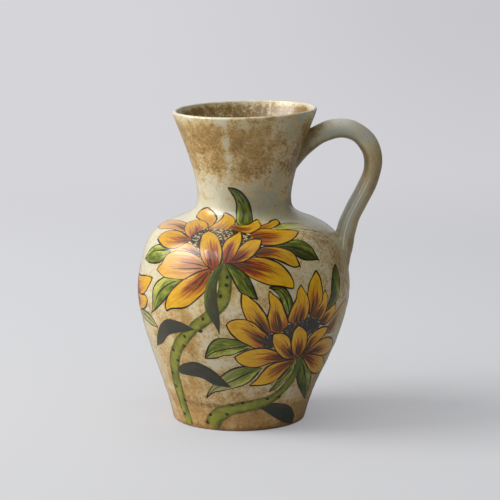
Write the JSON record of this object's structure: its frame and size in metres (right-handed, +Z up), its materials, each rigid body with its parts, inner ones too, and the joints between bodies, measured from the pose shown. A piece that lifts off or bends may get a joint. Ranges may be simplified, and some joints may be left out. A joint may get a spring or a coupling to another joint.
{
  "type": "ceramic pitcher",
  "caption": "Hand-thrown glazed ceramic pitcher with a round belly, a flared neck and one pulled loop handle, painted with flowers and leaves.",
  "frame": {"origin": "centre of the flat foot, on the surface that the pitcher stands on", "axes": "+Z up along the axis of the belly, +X towards the handle, +Y away from the side with the main flowers"},
  "size_m": [0.1796, 0.1564, 0.23],
  "materials": {
    "body_glaze": "glossy mottled ochre glaze over cream, hand-painted flowers",
    "neck_glaze": "glossy mottled brown-ochre glaze, cream lip",
    "handle_glaze": "glossy grey-green glaze with brown edges",
    "luting_slip": "fired slip"
  },
  "bodies": {
    "root": {"belly": "body_glaze", "neck": "neck_glaze", "neck_seam": "luting_slip", "handle": "handle_glaze", "handle_upper_pad": "luting_slip", "handle_lower_pad": "luting_slip"}
  },
  "joints": []
}
